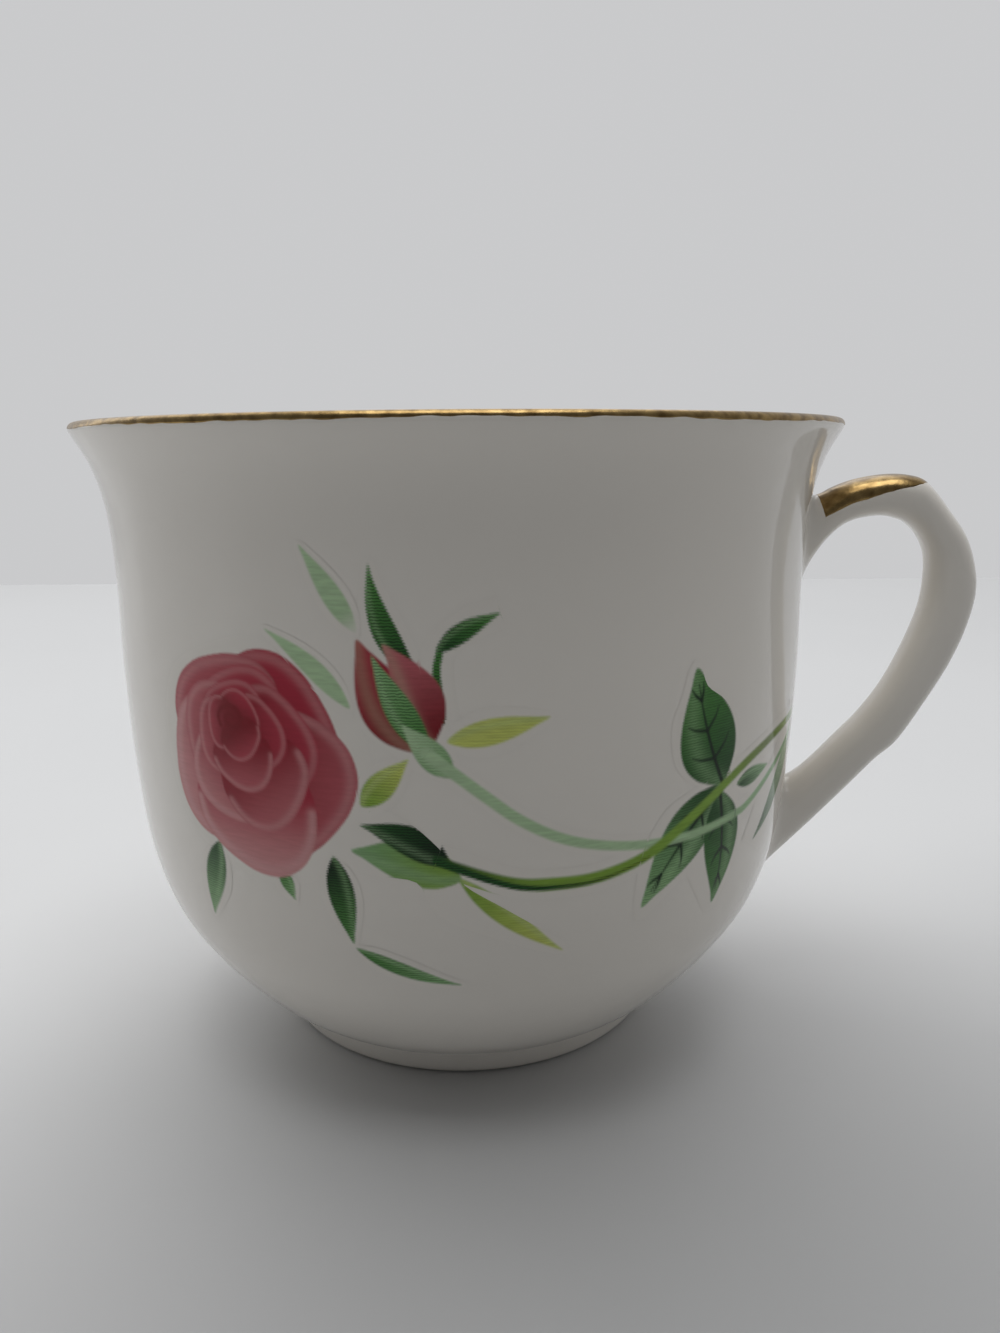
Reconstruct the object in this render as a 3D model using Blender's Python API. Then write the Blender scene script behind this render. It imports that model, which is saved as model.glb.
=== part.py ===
"""Porcelain teacup: a flared bowl on a short foot, one loop handle, gilt rim and a printed rose spray.

Sizes are in millimetres and become metres when a mesh is made. The cup stands on the floor with +Z up
and its handle along +X. Every shape is worked out around the bowl's own axis, and an empty then shifts
the whole cup so that the origin lies under the middle of its bounding box.
"""

import math

import bmesh
import bpy
from mathutils import Vector
from mathutils.geometry import delaunay_2d_cdt

MM = 0.001

# Driving dimensions
RIM_RADIUS = 43.0
BELLY_RADIUS = 39.5
HEIGHT = 70.2
LIP_RADIUS = 0.65
LIP_LEAN = math.radians(26)
FOOT_RADIUS = 23.1
FOOT_HEIGHT = 3.2
HANDLE_REACH = 59.0
HANDLE_WIDTH = 7.0

# Fits: the space between two joined pieces, the slip that fills a joint, and a fired film
GAP = 0.15
SLIP = 0.6
SEAM = 0.3
FILM_GAP = 0.25
FILM = 0.15

SEGMENTS = 60
SECTION_SIDES = 16
SECTION_SQUARENESS = 2.5
HANDLE_STEPS = 2
FILM_CELL = 2.6

# The spray is laid out flat, as it is printed: its own x runs round the belly from this azimuth,
# positive towards the handle, and its y is the height on the cup.
SPRAY_AZIMUTH = math.radians(-80)

# Outlines as (radius, height)
FOOT_SEAT = FOOT_HEIGHT + 2 * GAP + SEAM
UNDERSIDE = [(0.0, 4.7), (12.0, 4.6), (18.5, 4.2), (20.2, FOOT_SEAT), (25.2, FOOT_SEAT)]
WALL = [
    (25.8, 4.1), (28.95, 7.0), (33.1, 12.1), (36.2, 17.5), (38.15, 24.5), (39.1, 34.0),
    (39.5, 44.0), (BELLY_RADIUS, 53.5), (39.95, 61.0), (41.1, 65.7),
]
INSIDE = [
    (39.7, 66.2), (38.2, 61.3), (37.5, 53.5), (37.3, 44.0), (36.8, 35.0), (35.7, 26.0),
    (33.6, 19.0), (29.9, 13.6), (24.5, 9.7), (18.0, 7.6), (10.0, 6.9), (0.0, 6.8),
]
FOOT = [
    (21.2, 0.0), (22.7, 0.0), (FOOT_RADIUS, 0.4), (24.4, FOOT_HEIGHT), (20.6, FOOT_HEIGHT), (20.8, 0.4),
]

# The handle's outer and inner edges as (distance from the bowl's axis, height), each point opposite one
# of the other edge. Both begin and end inside the wall, where the shape of the bowl cuts them off.
HANDLE_OUTER = [
    (36.5, 58.0), (40.4, 61.3), (42.3, 62.5), (45.0, 63.6), (48.3, 64.2), (51.0, 64.1),
    (52.9, 63.3), (55.2, 60.6), (57.7, 56.9), (HANDLE_REACH, 52.2), (58.5, 48.0), (56.9, 43.2),
    (54.2, 37.9), (51.6, 33.5), (49.3, 31.2), (45.7, 27.0), (41.7, 22.4), (36.8, 17.0), (32.5, 12.6),
]
HANDLE_INNER = [
    (36.5, 50.5), (40.2, 53.6), (42.0, 56.6), (44.4, 58.8), (47.6, 59.6), (49.8, 59.3),
    (51.2, 58.6), (52.5, 57.2), (53.4, 55.2), (53.6, 52.3), (53.2, 48.9), (51.8, 44.6),
    (49.8, 40.1), (47.4, 36.4), (45.2, 33.8), (42.2, 30.4), (39.0, 27.4), (34.6, 24.2), (30.0, 21.0),
]
ROOT_STATIONS = 3
ROOT_REACH = 5.0
ROOT_FLARE = 2.0
GILDING_START, GILDING_END = 2, 6
GILDING_SPREAD = math.radians(62)
GILDING_COLUMNS = 6
RIM_GILDING_START, RIM_GILDING_END = math.radians(-8), math.radians(165)
SEAM_INNER, SEAM_OUTER = 20.9, 24.1
SHARP_FROM = math.radians(35)


def smooth_curve(points, steps, closed=False):
    """Catmull-Rom curve through the points, with this many steps from one point to the next."""
    points = [Vector(p) for p in points]
    if closed:
        points = [points[-1]] + points + points[:2]
    else:
        points = [2 * points[0] - points[1]] + points + [2 * points[-1] - points[-2]]
    curve = []
    for a, b, c, d in zip(points, points[1:], points[2:], points[3:]):
        for step in range(steps):
            t = step / steps
            bend = (2 * a - 5 * b + 4 * c - d) * t ** 2 + (3 * b - a - 3 * c + d) * t ** 3
            curve.append((2 * b + (c - a) * t + bend) / 2)
    if not closed:
        curve.append(points[-2])
    return curve


def to_right(direction):
    """The unit vector to the right of a direction, which is outwards from an outline that runs upwards."""
    return Vector((direction.y, -direction.x)).normalized()


def grown(outline, distance):
    """An open outline moved sideways, to the right of the way it runs."""
    ends = [outline[0]] + outline + [outline[-1]]
    directions = [after - before for before, after in zip(ends, ends[2:])]
    return [point + distance * to_right(way) for point, way in zip(outline, directions)]


def lip_point(angle, grow=0.0):
    """A point on the rounded lip, where angle 0 points outwards and 90 degrees up."""
    centre = Vector((RIM_RADIUS - LIP_RADIUS, HEIGHT - LIP_RADIUS))
    return centre + (LIP_RADIUS + grow) * Vector((math.cos(angle), math.sin(angle)))


def lip_arc(first, last, steps, grow=0.0):
    """Points round the lip from one angle to another."""
    return [lip_point(first + (last - first) * step / steps, grow) for step in range(steps + 1)]


def outer_wall(grow=0.0):
    """The bowl's outer wall, from above the foot up to the lip."""
    return grown(smooth_curve(WALL + [lip_point(-LIP_LEAN)], 2), grow)


def wall_radius(height, wall):
    """The radius of the wall at a height."""
    for low, high in zip(wall, wall[1:]):
        if height <= high.y:
            break
    return low.x + (high.x - low.x) * (height - low.y) / (high.y - low.y)


def add_object(name, bm, material):
    """Put a finished bmesh in the scene, in metres, as a part of the cup."""
    bmesh.ops.scale(bm, vec=(MM, MM, MM), verts=bm.verts)
    mesh = bpy.data.meshes.new(name)
    bm.to_mesh(mesh)
    bm.free()
    mesh.materials.append(material)
    mesh.shade_smooth()
    mesh.set_sharp_from_angle(angle=SHARP_FROM)
    part = bpy.data.objects.new(name, mesh)
    bpy.context.scene.collection.objects.link(part)
    part.parent = bpy.data.objects["teacup"]
    return part


def turned(name, outline, material, closed=True):
    """A solid of revolution. An open outline starts and ends on the axis."""
    bm = bmesh.new()
    points = [bm.verts.new((point[0], 0.0, point[1])) for point in outline]
    pairs = list(zip(points, points[1:]))
    if closed:
        pairs.append((points[-1], points[0]))
    edges = [bm.edges.new(pair) for pair in pairs]
    bmesh.ops.spin(
        bm, geom=points + edges, axis=(0, 0, 1), angle=math.tau, steps=SEGMENTS, use_merge=True
    )
    bmesh.ops.remove_doubles(bm, verts=bm.verts, dist=1e-4)
    bmesh.ops.recalc_face_normals(bm, faces=bm.faces)
    return add_object(name, bm, material)


def make_bowl(porcelain):
    lip = lip_arc(-LIP_LEAN, math.pi - LIP_LEAN, 5)
    turned("bowl", UNDERSIDE + outer_wall() + lip[1:] + INSIDE, porcelain, closed=False)


def make_foot(porcelain, slip):
    bottom = FOOT_HEIGHT + GAP
    top = bottom + SEAM
    seam = [(SEAM_INNER, bottom), (SEAM_OUTER, bottom), (SEAM_OUTER, top), (SEAM_INNER, top)]
    turned("foot_ring", FOOT, porcelain)
    turned("foot_slip_seam", seam, slip)


def make_rim_gilding(gold):
    """A film over the rounded lip, from its outermost edge to a little way down inside."""
    underside = lip_arc(RIM_GILDING_START, RIM_GILDING_END, 6, GAP)
    top = lip_arc(RIM_GILDING_START, RIM_GILDING_END, 6, GAP + FILM)
    turned("rim_gilding", underside[::-1] + top, gold)


def squarish(wave):
    """A sine or cosine pushed towards its ends, which makes an oval squarish."""
    return math.copysign(abs(wave) ** (2 / SECTION_SQUARENESS), wave)


def handle_section(outer, inner, wall, angles, grow=0.0):
    """Points at these angles round one cross-section of the handle. Angle 0 is on the outer edge."""
    centre = (outer + inner) / 2
    outwards = (outer - inner).normalized()
    clear_of_wall = centre.x - wall_radius(centre.y, wall)
    flare = ROOT_FLARE * max(0.0, 1 - max(0.0, clear_of_wall) / ROOT_REACH) ** 2
    half_depth = (outer - inner).length / 2 + grow
    half_width = (HANDLE_WIDTH + flare) / 2 + grow
    points = []
    for angle in angles:
        place = centre + outwards * half_depth * squarish(math.cos(angle))
        points.append(Vector((place.x, half_width * squarish(math.sin(angle)), place.y)))
    return points


def handle_edges(first=0, last=None):
    """The smooth outer and inner edge, from one of the handle's stations to another."""
    edges = [smooth_curve(edge, HANDLE_STEPS) for edge in (HANDLE_OUTER, HANDLE_INNER)]
    end = None if last is None else last * HANDLE_STEPS + 1
    return list(zip(*edges))[first * HANDLE_STEPS:end]


def handle_tube(name, edges, material, grow=0.0):
    """A closed tube through the handle's cross-sections."""
    wall = outer_wall()
    angles = [math.tau * side / SECTION_SIDES for side in range(SECTION_SIDES)]
    bm = bmesh.new()
    rings = []
    for outer, inner in edges:
        rings.append([bm.verts.new(p) for p in handle_section(outer, inner, wall, angles, grow)])
    for ring, following in zip(rings, rings[1:]):
        for side in range(SECTION_SIDES):
            after = (side + 1) % SECTION_SIDES
            bm.faces.new((ring[side], ring[after], following[after], following[side]))
    bm.faces.new(rings[0])
    bm.faces.new(rings[-1])
    bmesh.ops.recalc_face_normals(bm, faces=bm.faces)
    return add_object(name, bm, material)


def bowl_blank(grow):
    """A hidden cutter: the solid bowl, without its hollow, grown by a distance."""
    wall = outer_wall(grow)
    outline = [(0.0, wall[0].y)] + wall + [(0.0, wall[-1].y)]
    blank = turned(f"blank_{grow:.2f}", outline, None, closed=False)
    blank.hide_render = True
    blank.display_type = "WIRE"
    return blank


def cut(part, cutter, operation):
    modifier = part.modifiers.new(operation.lower(), "BOOLEAN")
    modifier.operation = operation
    modifier.object = cutter
    modifier.solver = "EXACT"


def make_handle(porcelain, slip, gold):
    """The handle, the two pads of slip that hold it, and the gold stroke on its top."""
    joint_bottom = bowl_blank(GAP)
    joint_top = bowl_blank(GAP + SLIP)
    handle_end = bowl_blank(2 * GAP + SLIP)
    handle = handle_tube("handle", handle_edges(), porcelain)
    cut(handle, handle_end, "DIFFERENCE")
    last = len(HANDLE_OUTER) - 1
    roots = {
        "upper_slip_joint": handle_edges(0, ROOT_STATIONS),
        "lower_slip_joint": handle_edges(last - ROOT_STATIONS, last),
    }
    for name, edges in roots.items():
        pad = handle_tube(name, edges, slip, grow=GAP)
        cut(pad, joint_bottom, "DIFFERENCE")
        cut(pad, joint_top, "INTERSECT")
    make_handle_gilding(gold)


def make_handle_gilding(gold):
    """A strip over the handle's top, from its root to the spur."""
    wall = outer_wall()
    shares = [column / GILDING_COLUMNS for column in range(GILDING_COLUMNS + 1)]
    angles = [GILDING_SPREAD * (2 * share - 1) for share in shares]
    bm = bmesh.new()
    rows = []
    for outer, inner in handle_edges(GILDING_START, GILDING_END):
        rows.append([bm.verts.new(p) for p in handle_section(outer, inner, wall, angles, GAP)])
    for row, following in zip(rows, rows[1:]):
        for side in range(len(row) - 1):
            bm.faces.new((row[side], following[side], following[side + 1], row[side + 1]))
    strip = add_object("handle_gilding", bm, gold)
    add_thickness(strip)


def add_thickness(sheet):
    modifier = sheet.modifiers.new("film", "SOLIDIFY")
    modifier.thickness = FILM * MM
    modifier.offset = 1.0


def leaf(base, tip, width, bend=0.0):
    """A pointed leaf, widest before its middle, whose middle is pushed to its left by bend."""
    base, tip = Vector(base), Vector(tip)
    left = -to_right(tip - base)
    spots = [0.0, 0.12, 0.25, 0.4, 0.6, 0.8]
    line = [base + (tip - base) * t + left * bend * 4 * t * (1 - t) for t in spots]
    halves = [width / 2 * math.sin(math.pi * t ** 0.75) for t in spots]
    left_side = [point + left * half for point, half in zip(line, halves)]
    right_side = [point - left * half for point, half in zip(line[1:], halves[1:])]
    return left_side + [tip] + right_side[::-1]


def stroke(points, start_width, end_width):
    """A stem drawn along the points with a brush whose width changes evenly."""
    line = smooth_curve(points, 2)
    last = len(line) - 1
    halves = [(start_width + (end_width - start_width) * i / last) / 2 for i in range(last + 1)]
    ends = [line[0]] + line + [line[-1]]
    sides = [to_right(after - before) for before, after in zip(ends, ends[2:])]
    right_side = [point + side * half for point, side, half in zip(line, sides, halves)]
    left_side = [point - side * half for point, side, half in zip(line, sides, halves)]
    return right_side + left_side[::-1]


def blot(points):
    """A rounded patch through the points."""
    return smooth_curve(points, 2, closed=True)


def inside_points(outline):
    """A grid of points within an outline, clear of its edge."""
    points = []
    highest = max(p.y for p in outline)
    right = max(p.x for p in outline)
    height = min(p.y for p in outline) + FILM_CELL / 2
    while height < highest:
        across = min(p.x for p in outline) + FILM_CELL / 2
        while across < right:
            point = Vector((across, height))
            if is_inside(point, outline) and min((point - p).length for p in outline) > FILM_CELL / 2:
                points.append(point)
            across += FILM_CELL
        height += FILM_CELL
    return points


def is_inside(point, outline):
    """Whether a line to the right of the point crosses the outline an odd number of times."""
    crossings = 0
    for a, b in zip(outline, outline[1:] + outline[:1]):
        if (a.y > point.y) != (b.y > point.y):
            crossings += point.x < a.x + (b.x - a.x) * (point.y - a.y) / (b.y - a.y)
    return crossings % 2 == 1


def film(name, outline, material):
    """A printed patch: its flat outline filled with triangles and wrapped round the bowl."""
    count = len(outline)
    edges = [(i, (i + 1) % count) for i in range(count)]
    points = outline + inside_points(outline)
    places, _, triangles, *_ = delaunay_2d_cdt(points, edges, [range(count)], 1, 1e-5)
    wall = outer_wall(FILM_GAP)
    bm = bmesh.new()
    wrapped = []
    for place in places:
        radius = wall_radius(place.y, wall)
        azimuth = SPRAY_AZIMUTH + place.x / BELLY_RADIUS
        spot = (radius * math.cos(azimuth), radius * math.sin(azimuth), place.y)
        wrapped.append(bm.verts.new(spot))
    for triangle in triangles:
        bm.faces.new([wrapped[i] for i in triangle])
    add_thickness(add_object(name, bm, material))


PINK = (0.72, 0.16, 0.24)
DARK_GREEN = (0.06, 0.2, 0.08)
GREEN = (0.16, 0.4, 0.14)
YELLOW_GREEN = (0.5, 0.6, 0.12)
PALE_GREEN = (0.5, 0.68, 0.45)

# Each motif's own outline and colour
SPRAY = {
    "rose_bloom_transfer": (blot([
        (-26.0, 49.2), (-19.5, 50.8), (-15.0, 48.2), (-11.5, 45.8), (-9.7, 42.3), (-9.8, 37.0),
        (-13.0, 31.5), (-20.5, 29.2), (-26.5, 31.0), (-30.6, 35.0), (-31.8, 42.0), (-30.0, 46.6),
    ]), PINK),
    "rose_bud_transfer": (blot([
        (-9.2, 51.2), (-9.7, 48.0), (-8.5, 44.4), (-5.5, 42.7), (-2.2, 41.2), (-2.9, 44.5),
        (-3.9, 48.0), (-6.4, 50.0),
    ]), PINK),
    "bud_left_sepal_transfer": (leaf((-6.1, 51.0), (-7.9, 58.0), 1.9), DARK_GREEN),
    "bud_right_sepal_transfer": (stroke([
        (-1.5, 45.8), (-2.4, 48.6), (-2.0, 51.0), (0.3, 52.9), (3.1, 53.9),
    ], 1.0, 1.2), DARK_GREEN),
    "bud_stem_transfer": (stroke([
        (-1.3, 39.9), (1.7, 37.7), (4.7, 35.4), (8.4, 33.4), (12.3, 32.2), (16.2, 31.8),
    ], 1.0, 0.9), PALE_GREEN),
    "yellow_leaf_transfer": (leaf((-1.2, 42.6), (7.3, 44.7), 2.2), YELLOW_GREEN),
    "bloom_side_leaf_transfer": (leaf((-8.9, 37.7), (-5.0, 41.2), 3.0), GREEN),
    "calyx_leaf_transfer": (blot([
        (-9.2, 34.6), (-7.9, 36.0), (-5.5, 35.0), (-3.2, 32.9), (-1.9, 31.2), (-1.6, 28.4),
        (2.5, 25.6), (8.6, 21.8), (2.2, 24.4), (-2.3, 26.6), (-4.4, 30.0), (-8.6, 30.6),
        (-10.4, 31.9),
    ]), GREEN),
    "main_stem_transfer": (stroke([
        (-0.8, 31.8), (4.0, 29.8), (8.6, 29.0), (12.9, 29.1), (16.8, 29.7),
    ], 1.6, 1.5), GREEN),
    "upper_leaf_transfer": (blot([
        (22.1, 47.6), (23.4, 45.4), (26.2, 43.3), (28.1, 40.8), (28.4, 37.6), (24.6, 36.4),
        (21.2, 38.2), (20.2, 42.0), (21.2, 45.0),
    ]), DARK_GREEN),
    "lower_leaf_pair_transfer": (blot([
        (18.2, 31.3), (19.6, 33.6), (22.2, 35.2), (25.6, 35.5), (28.6, 34.6), (29.4, 31.4),
        (30.4, 28.0), (27.7, 22.1), (24.9, 24.8), (23.7, 27.2), (20.2, 26.2), (17.4, 24.3),
        (17.2, 28.0),
    ]), DARK_GREEN),
    "upper_stem_transfer": (stroke([
        (29.7, 36.0), (35.0, 37.1), (40.0, 38.1), (44.5, 38.9),
    ], 1.2, 1.0), GREEN),
    "lower_stem_transfer": (stroke([
        (31.0, 31.9), (35.0, 33.1), (41.5, 35.9),
    ], 1.0, 0.9), PALE_GREEN),
    "side_leaflet_transfer": (leaf((30.6, 34.2), (35.4, 35.4), 1.6), DARK_GREEN),
    "edge_leaf_transfer": (leaf((39.0, 33.2), (34.5, 27.0), 2.0), DARK_GREEN),
    "left_sepal_transfer": (leaf((-26.9, 29.7), (-29.1, 22.1), 3.2), GREEN),
    "middle_sepal_transfer": (leaf((-17.9, 28.4), (-16.9, 25.6), 1.5), PALE_GREEN),
    "right_sepal_transfer": (leaf((-12.2, 30.0), (-11.2, 22.9), 2.6), DARK_GREEN),
    "trailing_leaf_transfer": (leaf((-10.2, 21.9), (-1.6, 18.5), 1.9, -0.4), GREEN),
    "upper_sprig_transfer": (leaf((-9.5, 52.4), (-13.9, 59.5), 1.5), PALE_GREEN),
    "lower_sprig_transfer": (leaf((-10.9, 47.6), (-17.7, 52.2), 1.4, -0.5), PALE_GREEN),
}


def make_material(name, colour, roughness, metallic=0.0):
    material = bpy.data.materials.new(name)
    material.use_nodes = True
    shader = material.node_tree.nodes["Principled BSDF"]
    shader.inputs["Base Color"].default_value = (*colour, 1.0)
    shader.inputs["Roughness"].default_value = roughness
    shader.inputs["Metallic"].default_value = metallic
    return material


def main():
    for old in list(bpy.data.objects):
        bpy.data.objects.remove(old, do_unlink=True)
    cup = bpy.data.objects.new("teacup", None)
    bpy.context.scene.collection.objects.link(cup)
    rim_edge = RIM_RADIUS + GAP + FILM
    cup.location.x = (rim_edge - HANDLE_REACH) / 2 * MM

    porcelain = make_material("porcelain", (0.86, 0.85, 0.81), 0.12)
    slip = make_material("slip", (0.8, 0.78, 0.74), 0.4)
    gold = make_material("gold", (0.6, 0.42, 0.17), 0.22, metallic=1.0)
    make_bowl(porcelain)
    make_foot(porcelain, slip)
    make_handle(porcelain, slip, gold)
    make_rim_gilding(gold)
    for name, (outline, colour) in SPRAY.items():
        film(name, outline, make_material(name, colour, 0.2))


main()
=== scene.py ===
"""Looks of the porcelain teacup: glazed porcelain, brushed gold and a printed rose spray.

Shapes are worked out in millimetres round the bowl's own axis, with the same outlines as the CAD part,
and become metres in the row frame when a mesh is made.
"""

import math

import bmesh
import bpy
import numpy as np
from mathutils import Matrix, Vector, noise
from mathutils.geometry import delaunay_2d_cdt


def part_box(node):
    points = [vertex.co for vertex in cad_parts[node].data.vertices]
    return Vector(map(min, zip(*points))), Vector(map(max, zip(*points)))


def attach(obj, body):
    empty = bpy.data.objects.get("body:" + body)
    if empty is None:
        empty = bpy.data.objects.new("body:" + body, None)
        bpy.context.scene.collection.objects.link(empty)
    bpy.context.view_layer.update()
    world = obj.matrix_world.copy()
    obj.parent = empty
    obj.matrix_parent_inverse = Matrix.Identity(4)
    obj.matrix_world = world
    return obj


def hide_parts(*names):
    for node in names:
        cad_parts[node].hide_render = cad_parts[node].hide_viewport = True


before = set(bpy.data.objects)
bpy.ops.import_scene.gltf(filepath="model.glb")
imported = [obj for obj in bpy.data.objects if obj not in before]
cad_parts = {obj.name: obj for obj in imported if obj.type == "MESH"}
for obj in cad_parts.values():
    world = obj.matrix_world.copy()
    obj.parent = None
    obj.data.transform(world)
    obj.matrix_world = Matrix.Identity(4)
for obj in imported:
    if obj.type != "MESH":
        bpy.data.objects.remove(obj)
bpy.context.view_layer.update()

MM = 0.001
BOWL_LOW, BOWL_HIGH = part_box("bowl")
AXIS_X = (BOWL_LOW.x + BOWL_HIGH.x) / 2

# The cup's driving dimensions
RIM_RADIUS = (BOWL_HIGH.x - BOWL_LOW.x) / 2 / MM
HEIGHT = BOWL_HIGH.z / MM
BELLY_RADIUS = 39.5
LIP_RADIUS = 0.65
LIP_LEAN = math.radians(26)
FOOT_RADIUS = 23.1
HANDLE_REACH = 58.96
HANDLE_WIDTH = 7.0
SPRAY_AZIMUTH = math.radians(-80)

# Outlines as (radius, height)
UNDERSIDE = [(0.0, 4.7), (8.0, 4.65), (14.0, 4.5), (18.5, 4.1), (20.5, 3.5)]
WALL = [
    (24.2, 3.35), (25.8, 4.1), (28.95, 7.0), (33.1, 12.1), (36.2, 17.5), (38.15, 24.5), (39.1, 34.0),
    (39.5, 44.0), (BELLY_RADIUS, 53.5), (39.95, 61.0), (41.1, 65.7),
]
INSIDE = [
    (39.7, 66.2), (38.2, 61.3), (37.5, 53.5), (37.3, 44.0), (36.8, 35.0), (35.7, 26.0),
    (33.6, 19.0), (29.9, 13.6), (24.5, 9.7), (18.0, 7.6), (10.0, 6.9), (0.0, 6.8),
]
FOOT = [
    (20.9, 3.6), (20.8, 2.0), (21.0, 0.5), (21.5, 0.08), (22.1, 0.01), (22.7, 0.08),
    (FOOT_RADIUS, 0.5), (23.6, 1.7), (24.1, 2.9), (24.45, 3.6),
]
HANDLE_OUTER = [
    (36.5, 58.0), (40.4, 61.3), (42.3, 62.5), (45.0, 63.6), (48.3, 64.2), (51.0, 64.1),
    (52.9, 63.3), (55.2, 60.6), (57.7, 56.9), (HANDLE_REACH, 52.2), (58.5, 48.0), (56.9, 43.2),
    (54.2, 37.9), (51.6, 33.5), (49.3, 31.2), (45.7, 27.0), (41.7, 22.4), (36.8, 17.0), (32.5, 12.6),
]
HANDLE_INNER = [
    (36.5, 50.5), (40.2, 53.6), (42.0, 56.6), (44.4, 58.8), (47.6, 59.6), (49.8, 59.3),
    (51.2, 58.6), (52.5, 57.2), (53.4, 55.2), (53.6, 52.3), (53.2, 48.9), (51.8, 44.6),
    (49.8, 40.1), (47.4, 36.4), (45.2, 33.8), (42.2, 30.4), (39.0, 27.4), (34.6, 24.2), (30.0, 21.0),
]

# How finely the meshes are made
SEGMENTS = 256
LIP_STEPS = 14
HANDLE_STEPS = 10
SECTION_SIDES = 64
FILLET_STEPS = 12
ROOT_STEPS = 26
PRINT_CELL = 0.18

# The handle: its section, the fillets at its roots and how far its ends are buried in the wall
SECTION_SQUARENESS = 2.5
FILLET = 2.2
FILLET_OVERRUN = 0.3
FILLET_DEPTH = 0.25
CAP_DEPTH = 0.9

# Gold and print: how far they stand off the glaze, and how far their edges sink under it
GOLD_LIFT = 0.02
RIM_GOLD_START, RIM_GOLD_END = math.radians(-6), math.radians(165)
PRINT_LIFT = 0.012
LIFT_STEP = 0.001
SUNK = -0.03
FILM_MARGIN = 0.5


# ---------------------------------------------------------------- curves


def smooth_curve(points, steps, closed=False):
    """Catmull-Rom curve through the points, with this many steps from one point to the next."""
    points = np.array(points, float)
    if closed:
        points = np.vstack([points[-1], points, points[:2]])
    else:
        points = np.vstack([2 * points[0] - points[1], points, 2 * points[-1] - points[-2]])
    t = (np.arange(steps) / steps)[:, None]
    spans = []
    for a, b, c, d in zip(points, points[1:], points[2:], points[3:]):
        bend = (2 * a - 5 * b + 4 * c - d) * t ** 2 + (3 * b - a - 3 * c + d) * t ** 3
        spans.append((2 * b + (c - a) * t + bend) / 2)
    if not closed:
        spans.append(points[-2:-1])
    return np.vstack(spans)


def lip_arc(first, last, steps, grow=0.0):
    """Points round the lip from one angle to another, where 0 points outwards and 90 degrees up."""
    angles = np.linspace(first, last, steps + 1)
    centre = np.array([RIM_RADIUS - LIP_RADIUS, HEIGHT - LIP_RADIUS])
    return centre + (LIP_RADIUS + grow) * np.column_stack([np.cos(angles), np.sin(angles)])


OUTER_WALL = smooth_curve(WALL + [lip_arc(-LIP_LEAN, 0, 1)[0]], 24)
WALL_SLOPE = np.gradient(OUTER_WALL[:, 0]) / np.gradient(OUTER_WALL[:, 1])


def on_wall(place, lift):
    """Points of the flat spray, (x, y) in millimetres, wrapped round the wall and lifted off it."""
    place = np.atleast_2d(place)
    azimuth = SPRAY_AZIMUTH + place[:, 0] / BELLY_RADIUS
    slope = np.interp(place[:, 1], OUTER_WALL[:, 1], WALL_SLOPE)
    steep = np.hypot(1, slope)
    radius = np.interp(place[:, 1], OUTER_WALL[:, 1], OUTER_WALL[:, 0]) + lift / steep
    height = place[:, 1] - lift * slope / steep
    return np.column_stack([radius * np.cos(azimuth), radius * np.sin(azimuth), height])


# ---------------------------------------------------------------- meshes


def in_frame(points):
    """Millimetres round the bowl's axis to metres in the row frame."""
    return np.asarray(points, float) * MM + np.array([AXIS_X, 0, 0])


def add_piece(name, points, faces, materials, nodes):
    """A smooth piece that rides on the cup and stands for CAD nodes."""
    mesh = bpy.data.meshes.new(name)
    mesh.from_pydata(in_frame(points).tolist(), [], [tuple(int(i) for i in f) for f in faces])
    mesh.validate()
    for material in materials:
        mesh.materials.append(material)
    mesh.shade_smooth()
    piece = bpy.data.objects.new(name, mesh)
    bpy.context.scene.collection.objects.link(piece)
    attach(piece, "root")
    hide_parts(*nodes)
    return piece


def grid_faces(rows, columns, wrap_rows=False, wrap_columns=True):
    """Quads between neighbouring rows of points, each row with the same number of columns."""
    faces = []
    for row in range(rows if wrap_rows else rows - 1):
        for column in range(columns if wrap_columns else columns - 1):
            after, beside = (row + 1) % rows, (column + 1) % columns
            faces.append((
                row * columns + column, row * columns + beside,
                after * columns + beside, after * columns + column,
            ))
    return faces


def turned(name, outline, material, nodes, closed=True):
    """A solid of revolution. An open outline starts and ends on the axis."""
    outline = np.array(outline, float)
    azimuth = np.linspace(0, math.tau, SEGMENTS, endpoint=False)
    points = np.array([
        np.column_stack([r * np.cos(azimuth), r * np.sin(azimuth), np.full(SEGMENTS, z)])
        for r, z in outline
    ]).reshape(-1, 3)
    faces = grid_faces(len(outline), SEGMENTS, wrap_rows=closed)
    piece = add_piece(name, points, faces, [material], nodes)
    clean(piece)


def clean(piece):
    """Merge points that coincide, as at the poles, and turn every face outwards."""
    bm = bmesh.new()
    bm.from_mesh(piece.data)
    bmesh.ops.remove_doubles(bm, verts=bm.verts, dist=1e-7)
    bmesh.ops.recalc_face_normals(bm, faces=bm.faces)
    bm.to_mesh(piece.data)
    bm.free()


# ---------------------------------------------------------------- materials


def new_material(name, **sockets):
    """A Principled material with these socket values, with its node tree and its shader."""
    material = bpy.data.materials.new(name)
    material.use_nodes = True
    tree = material.node_tree
    shader = tree.nodes["Principled BSDF"]
    for socket, value in sockets.items():
        shader.inputs[socket.replace("_", " ")].default_value = value
    return material, tree, shader


def add_node(tree, kind, links=(), **settings):
    """A node with its settings, and its inputs linked or set by name."""
    node = tree.nodes.new(kind)
    for key, value in settings.items():
        setattr(node, key, value)
    for socket, value in dict(links).items():
        if isinstance(value, bpy.types.NodeSocket):
            tree.links.new(value, node.inputs[socket])
        else:
            node.inputs[socket].default_value = value
    return node


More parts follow.
